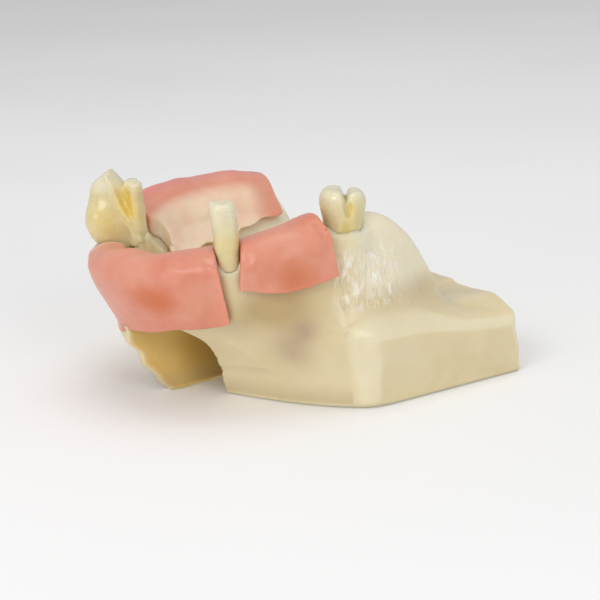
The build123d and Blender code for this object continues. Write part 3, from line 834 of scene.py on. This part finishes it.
# Each finish function returns a pad's displaced vertices and its deep, pink and peach masks.
# skin: 1 on the outer surface, 0 against the bone.
def finish_anterior(verts, normal, s, off, skin):
    z = verts[:, 2]
    wave = 0.16 * skin_noise(verts, s, off, (5.5, 1.2, 8), 60) * bell(z, 28.3, 2.4) \
        * ramp(2.9, 2.2, np.abs(s - 0.4))
    patch = np.exp(-(((s - 1.45) * MM_PER_S / 4.4) ** 2 + ((z - 23.2) / 2.9) ** 2) ** 1.5)
    verts = verts + normal * (wave * skin + 0.25 * patch * skin)[:, None]
    z = verts[:, 2]
    deep = np.clip(patch + 0.35 * spot(verts, (21, -24, 20), 5), 0, 1)
    pink = ramp(-0.8, -2.2, s) * ramp(29.5, 26, z)
    return verts, deep, pink, ramp(-1.1, -1.8, s) * ramp(26.5, 29.0, z)


def finish_right(verts, normal, s, off, skin):
    deep = np.clip(0.8 * spot(verts, (30.5, -11.5, 27.5), 4.0)
                   + 0.6 * spot(verts, (27.5, -4.5, 35.5), 4.0), 0, 1)
    wave = 0.10 * skin_noise(verts, s, off, (4, 3, 8), 61) * skin
    return verts + normal * wave[:, None], deep, 0 * s, 0 * s


def finish_left(verts, normal, s, off, skin):
    peach = ramp(-4.0, -6.5, off) * ramp(-7.7, -6.7, s)
    wave = skin * (0.22 * skin_noise(verts, s, off, (7, 3.5, 8), 62)
                   - 0.30 * peach * bell(verts[:, 2], 29.5, 2.0))
    return verts + normal * wave[:, None], 0 * s, ramp(-3.0, 0.0, off), peach


# CAD node: low and high grid corners, body, outline, finish
PADS = {
    "anterior_gingiva": ((-22, -38.5, 9), (28.5, -14, 36), "front_gum",
                         anterior_edge, finish_anterior),
    "right_gingiva": ((16, -24, 22), (36, 2, 40), "right_gum", right_edge, finish_right),
    "left_gingiva": ((-37, -24, 17), (-10, 24, 40), "left_gum", left_edge, finish_left),
}


def build_pad(node):
    low, high, body, edge_of, finish = PADS[node]
    points, axes = grid(low, high, PAD_STEP)
    verts, quads = mesh_of(pad_field(points, axes, edge_of), axes, passes=2)
    s, off, _ = arch_of(verts[:, 0], verts[:, 1])
    skin = ramp(0.5, 1.3, bone_field(verts.astype(FLOAT)))
    verts, deep, pink, peach = finish(verts, normals(verts, quads), s, off, skin)
    return make_piece("gum_" + node.split("_")[0], verts, quads, body, node,
                      dict(deep=deep, pink=pink, peach=peach))


# Yellow and tip masks of each tooth
def premolar_masks(x, y, z):
    hollow = np.exp(-(((x + 3.2 - 0.25 * (z - 8)) / 1.7) ** 2 + ((y - 2.4) / 2.2) ** 2
                      + ((z - 7.8) / 3.6) ** 2))
    swell = np.exp(-(((x - 1.6) / 3.2) ** 2 + ((z - 4.8) / 3.6) ** 2))
    return np.clip(1.3 * hollow + 0.45 * swell, 0, 1), ramp(9.5, 12.5, z)


def canine_masks(x, y, z):
    return 0.22 * bell(z, 4.5, 2.2), ramp(5, 11, z)


def molar_masks(x, y, z):
    _, w = molar_axes(x, y)
    groove = np.exp(-((w - 0.9) / 0.9) ** 2 - ((z - 5.4) / 1.6) ** 2)
    neck = np.exp(-((w - 0.1) / 1.9) ** 2 - ((z - 1.2) / 2.0) ** 2)
    return np.clip(0.7 * groove + 0.65 * neck, 0, 1), ramp(5.5, 8.5, z)


TOOTH_PARTS = {"left_premolar": (premolar_shape, premolar_masks),
               "right_canine": (canine_shape, canine_masks),
               "right_molar": (molar_shape, molar_masks)}


def build_tooth(node):
    shape, masks = TOOTH_PARTS[node]
    origin = TEETH[node]["frame"][0]
    points, axes = grid(origin - [9, 9, 13], origin + [9, 9, 17], TOOTH_STEP)
    verts, quads = mesh_of(tooth_field(points, node, shape), axes, passes=1)
    yellow, tips = masks(*tooth_local(verts, node))
    body = node.split("_")[1]
    return make_piece("tooth_" + body, verts, quads, body, node,
                      dict(yellow=yellow, tips=tips))


def build_membrane(side, word):
    low_x, high_x = (10, 36) if side > 0 else (-36, -10)
    points, axes = grid((low_x, -10, 2.5), (high_x, 28, 24), PAD_STEP)
    verts, quads = mesh_of(membrane_field(points, side), axes, passes=1)
    vein = layered_noise(verts, 3.0, 70 + side, 3) * 0.5 + 0.5
    make_piece("membrane_" + word, verts, quads, word + "_membrane",
               word + "_sinus_membrane", dict(vein=vein))


# ---------------------------------------------------------------- materials
def linear(rgb):
    """Linear RGBA from 8-bit sRGB."""
    return [((c / 255 + 0.055) / 1.055) ** 2.4 if c > 10 else c / 255 / 12.92
            for c in rgb] + [1.0]


class Material:
    """Node builder. Any value may be a number or a socket; mixed colours may be sRGB tuples."""

    def __init__(self, name):
        self.material = bpy.data.materials.new(name)
        self.material.use_nodes = True
        self.tree = self.material.node_tree
        self.shader = self.tree.nodes["Principled BSDF"]
        self.place = self.node("TexCoord").outputs["Object"]

    def node(self, kind, **settings):
        node = self.tree.nodes.new("ShaderNode" + kind)
        for key, value in settings.items():
            setattr(node, key, value)
        return node

    def put(self, node, **inputs):
        """Sets or links inputs; an underscore in a key stands for a space."""
        for key, value in inputs.items():
            self.feed(node.inputs[key.replace("_", " ")], value)

    def feed(self, socket, value):
        if isinstance(value, bpy.types.NodeSocket):
            self.tree.links.new(value, socket)
        else:
            socket.default_value = value

    def noise(self, scale, detail=3.0, rough=0.5, distortion=0.0, stretch=None):
        node = self.node("TexNoise")
        place = self.place
        if stretch:
            mapping = self.node("Mapping")
            self.put(mapping, Vector=place, Scale=stretch)
            place = mapping.outputs["Vector"]
        self.put(node, Vector=place, Scale=scale, Detail=detail, Roughness=rough,
                 Distortion=distortion)
        return node.outputs["Fac"]

    def mask(self, name):
        return self.node("Attribute", attribute_name=name).outputs["Fac"]

    def math(self, operation, a, b, clamp=False):
        node = self.node("Math", operation=operation, use_clamp=clamp)
        self.feed(node.inputs[0], a)
        self.feed(node.inputs[1], b)
        return node.outputs[0]

    def remap(self, value, low, high, to=(0.0, 1.0)):
        node = self.node("MapRange")
        self.put(node, Value=value, From_Min=low, From_Max=high, To_Min=to[0], To_Max=to[1])
        return node.outputs["Result"]

    def mix(self, factor, a, b):
        node = self.node("Mix", data_type="RGBA")
        self.put(node, Factor=factor)
        for index, colour in ((6, a), (7, b)):
            colour = linear(colour) if isinstance(colour, tuple) else colour
            self.feed(node.inputs[index], colour)
        return node.outputs[2]

    def tint(self, base, mask, amount, to):
        """Mixes towards a colour by a mask, given by name or socket."""
        mask = self.mask(mask) if isinstance(mask, str) else mask
        return self.mix(self.math("MULTIPLY", mask, amount), base, to)

    def bump(self, height, strength, distance, under=None):
        node = self.node("Bump")
        self.put(node, Strength=strength, Distance=distance, Height=height)
        if under is not None:
            self.put(node, Normal=under)
        return node.outputs["Normal"]

    def finish(self, colour, rough, normal=None, scatter=0.0, radius=(1, 0.5, 0.25),
               scatter_scale=0.002, coat=0.0, coat_rough=0.15):
        self.put(self.shader, Base_Color=colour, Roughness=rough, Subsurface_Weight=scatter,
                 Subsurface_Radius=radius, Subsurface_Scale=scatter_scale,
                 Specular_IOR_Level=0.5, IOR=1.47, Coat_Weight=coat, Coat_Roughness=coat_rough)
        if normal is not None:
            self.put(self.shader, Normal=normal)
            if coat > 0:
                self.put(self.shader, Coat_Normal=normal)
        return self.material


def cast_resin():
    m = Material("cast_resin")
    cloud = m.noise(scale=90, rough=0.55, distortion=0.4)
    fine = m.noise(scale=520, rough=0.6)
    colour = m.mix(m.remap(cloud, low=0.32, high=0.68), (216, 199, 156), (227, 214, 178))
    blotch = m.remap(m.noise(scale=45, detail=2.0), low=0.35, high=0.7, to=(0.0, 0.35))
    colour = m.mix(blotch, colour, (214, 198, 160))
    # painted highlight: paler towards the top of the rear ridge
    colour = m.tint(colour, "painted_rear_highlight", amount=0.75, to=(238, 231, 208))
    colour = m.tint(colour, "tan", amount=0.75, to=(174, 145, 92))
    clouded = m.remap(cloud, low=0.3, high=0.7, to=(0.35, 0.8))
    colour = m.tint(colour, "purple", amount=clouded, to=(154, 119, 106))
    colour = m.tint(colour, "nose", amount=0.95, to=(214, 180, 96))
    colour = m.tint(colour, "inside", amount=0.6, to=(196, 172, 118))
    # painted highlight on the rounded edges beside the flat side faces
    colour = m.tint(colour, "painted_rim_highlight", amount=0.45, to=(236, 230, 204))
    # painted shade: darker low on the walls, towards the base
    colour = m.tint(colour, "foot", amount=0.45, to=(179, 158, 118))
    # painted highlight: light streaks on the crests of the wrinkles
    wrinkle = m.mask("wrinkle")
    streak = m.noise(scale=1000, detail=2.0, distortion=0.5, stretch=(1.0, 1.0, 0.36))
    light = m.math("MULTIPLY", m.remap(streak, low=0.48, high=0.64), m.mask("crest"), clamp=True)
    colour = m.tint(colour, light, amount=0.8, to=(244, 236, 228))
    normal = m.bump(cloud, strength=0.25, distance=0.0006)
    normal = m.bump(fine, strength=0.12, distance=0.00012, under=normal)
    normal = m.bump(streak, strength=m.math("MULTIPLY", wrinkle, 1.0), distance=0.0005,
                    under=normal)
    rough = m.remap(m.noise(scale=150, detail=2.0), low=0.3, high=0.7, to=(0.30, 0.42))
    rough = m.math("SUBTRACT", rough, m.math("MULTIPLY", wrinkle, 0.16))
    return m.finish(colour, rough, normal, scatter=0.55, radius=(1.0, 0.72, 0.38),
                    scatter_scale=0.0035, coat=0.25, coat_rough=0.12)


def gum_silicone():
    m = Material("gum_silicone")
    cloud = m.noise(scale=110, rough=0.55, distortion=0.3)
    colour = m.mix(m.remap(cloud, low=0.3, high=0.7), (213, 134, 108), (223, 157, 132))
    mottle = m.remap(m.noise(scale=260, detail=2.0), low=0.45, high=0.75, to=(0.0, 0.25))
    colour = m.mix(mottle, colour, (230, 172, 148))
    colour = m.tint(colour, "pink", amount=0.55, to=(221, 124, 121))
    clouded = m.remap(cloud, low=0.3, high=0.7, to=(0.65, 1.0))
    colour = m.tint(colour, "peach", amount=clouded, to=(255, 232, 206))
    colour = m.tint(colour, "deep", amount=0.9, to=(202, 108, 52))
    # painted sheen: the gum turns pinker where it is seen at a grazing angle
    painted_grazing_sheen = m.node("LayerWeight")
    m.put(painted_grazing_sheen, Blend=0.35)
    colour = m.tint(colour, painted_grazing_sheen.outputs["Facing"], amount=0.40, to=(230, 146, 134))
    normal = m.bump(m.noise(scale=230, rough=0.6, distortion=0.4), strength=0.25,
                    distance=0.0003)
    normal = m.bump(m.noise(scale=900, detail=2.0), strength=0.10, distance=0.00008,
                    under=normal)
    rough = m.remap(cloud, low=0.3, high=0.7, to=(0.34, 0.46))
    return m.finish(colour, rough, normal, scatter=0.6, radius=(1.0, 0.42, 0.28),
                    scatter_scale=0.0022, coat=0.15, coat_rough=0.2)


def tooth_resin():
    m = Material("tooth_resin")
    cloud = m.noise(scale=240, distortion=0.3)
    colour = m.mix(m.remap(cloud, low=0.3, high=0.7), (212, 198, 150), (219, 208, 168))
    colour = m.tint(colour, "tips", amount=0.7, to=(224, 219, 196))
    colour = m.tint(colour, "yellow", amount=0.95, to=(230, 204, 96))
    normal = m.bump(m.noise(scale=500, distortion=0.3), strength=0.15, distance=0.00012)
    rough = m.remap(cloud, low=0.3, high=0.7, to=(0.22, 0.34))
    return m.finish(colour, rough, normal, scatter=0.6, radius=(1.0, 0.8, 0.42),
                    scatter_scale=0.0022, coat=0.35, coat_rough=0.08)


def sinus_membrane():
    m = Material("sinus_membrane")
    colour = m.mix(m.remap(m.mask("vein"), low=0.35, high=0.65), (150, 98, 112), (176, 128, 136))
    threads = m.noise(scale=420, detail=4.0, rough=0.6, distortion=0.8)
    colour = m.mix(m.remap(threads, low=0.5, high=0.62, to=(0.0, 0.5)), colour, (128, 72, 88))
    normal = m.bump(m.noise(scale=380, rough=0.6, distortion=0.5), strength=0.3,
                    distance=0.0003)
    return m.finish(colour, 0.48, normal, scatter=0.4, radius=(1.0, 0.35, 0.35),
                    scatter_scale=0.0012)


def bone_foam():
    """Open-pored foam."""
    m = Material("bone_foam")
    cells = m.node("TexVoronoi")
    m.put(cells, Vector=m.place, Scale=900)
    pore = m.remap(cells.outputs["Distance"], low=0.15, high=0.5)
    # painted shade: the pits of the pores are coloured dark brown
    colour = m.mix(pore, (150, 112, 60), (214, 186, 132))
    return m.finish(colour, 0.85, m.bump(pore, strength=0.8, distance=0.0003), scatter=0.2,
                    radius=(1, 0.7, 0.4), scatter_scale=0.0008)


def floor_paper():
    """White paper, clear from below and to very near rays, so the underside shows."""
    m = Material("floor_paper")
    tone = m.remap(m.noise(scale=6, detail=2), low=0.3, high=0.7)
    m.finish(m.mix(tone, (246, 246, 246), (250, 250, 250)), 0.9)
    output = [node for node in m.tree.nodes if node.type == "OUTPUT_MATERIAL"][0]
    clear = m.node("BsdfTransparent")
    blend = m.node("MixShader")
    path = m.node("LightPath")
    near = m.math("LESS_THAN", path.outputs["Ray Length"], 0.0010)
    below = m.math("MULTIPLY", m.node("NewGeometry").outputs["Backfacing"],
                   path.outputs["Is Camera Ray"])
    m.feed(blend.inputs[0], m.math("MAXIMUM", below, near))
    m.feed(blend.inputs[1], m.shader.outputs[0])
    m.feed(blend.inputs[2], clear.outputs[0])
    m.put(output, Surface=blend.outputs[0])
    return m.material


# ---------------------------------------------------------------- floor, light, camera
def add_floor(half=3, z=-0.0002):
    mesh = bpy.data.meshes.new("floor")
    mesh.from_pydata([(-half, -half, z), (half, -half, z), (half, half, z), (-half, half, z)],
                     [], [(0, 1, 2, 3)])
    floor = add_object("floor", mesh)
    mesh.materials.append(floor_paper())


def aim(ob, x_axis, y_axis, z_axis, origin):
    matrix = np.eye(4)
    matrix[:3] = np.column_stack([x_axis, y_axis, z_axis, origin])
    ob.matrix_world = Matrix(matrix.tolist())


def add_light(name, place, target, size, power):
    light = bpy.data.lights.new(name, "AREA")
    light.shape = "RECTANGLE"
    light.size, light.size_y = size
    light.energy = power
    back = np.array(place, float) - np.array(target, float)
    back /= np.linalg.norm(back)
    right = np.cross([0, 0, 1.0], back)
    right /= np.linalg.norm(right)
    aim(add_object(name, light), right, np.cross(back, right), back, place)


def add_camera():
    azimuth, elevation, roll = (math.radians(a) for a in (58, 16, 2.5))
    distance = 330.0
    target = np.array([4.6, 5.3, 14.2])
    back = np.array([math.sin(azimuth) * math.cos(elevation),
                     -math.cos(azimuth) * math.cos(elevation), math.sin(elevation)])
    right = np.array([math.cos(azimuth), math.sin(azimuth), 0])
    up = np.cross(back, right)
    camera = bpy.data.cameras.new("camera")
    camera.sensor_width = 36.0
    camera.lens = 94.05
    camera.clip_start = 0.01
    ob = add_object("camera", camera)
    aim(ob, right * math.cos(roll) - up * math.sin(roll),
        right * math.sin(roll) + up * math.cos(roll), back, (target + back * distance) * MM)
    bpy.context.scene.camera = ob


def set_world():
    world = bpy.data.worlds.new("studio")
    bpy.context.scene.world = world
    world.use_nodes = True
    background = world.node_tree.nodes["Background"]
    background.inputs["Color"].default_value = (1.0, 1.0, 1.0, 1)
    background.inputs["Strength"].default_value = 0.62


# ---------------------------------------------------------------- build
casting = build_body()
pads = [build_pad(node) for node in PADS]
teeth = [build_tooth(node) for node in TEETH]
build_membrane(1, "right")
build_membrane(-1, "left")

casting.data.materials.append(cast_resin())
for pieces, material in ((pads, gum_silicone()), (teeth, tooth_resin())):
    for ob in pieces:
        ob.data.materials.append(material)
membrane, foam = sinus_membrane(), bone_foam()
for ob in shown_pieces():
    if ob.name.startswith("membrane_"):
        ob.data.materials.append(membrane)
for node in ("anterior_bone_core", "right_bone_core", "left_bone_core"):
    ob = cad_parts[node]
    if not ob.data.materials:
        ob.data.materials.append(foam)
    for slot in ob.material_slots:
        slot.material = foam

add_floor()
set_world()
add_light("key", place=(0.28, -0.58, 0.52), target=(0, 0, 0.02), size=(0.40, 0.28), power=2.0)
add_light("low", place=(0.05, -0.70, 0.10), target=(0, -0.02, 0.01), size=(0.30, 0.14),
          power=0.45)
add_light("side", place=(0.75, -0.05, 0.35), target=(0, 0, 0.02), size=(0.30, 0.30), power=1.1)
add_light("top", place=(0.0, 0.1, 0.8), target=(0, 0, 0.02), size=(0.5, 0.5), power=1.7)
add_camera()
view = bpy.context.scene.view_settings
view.view_transform = "Standard"
view.look = "None"
view.exposure = -0.22
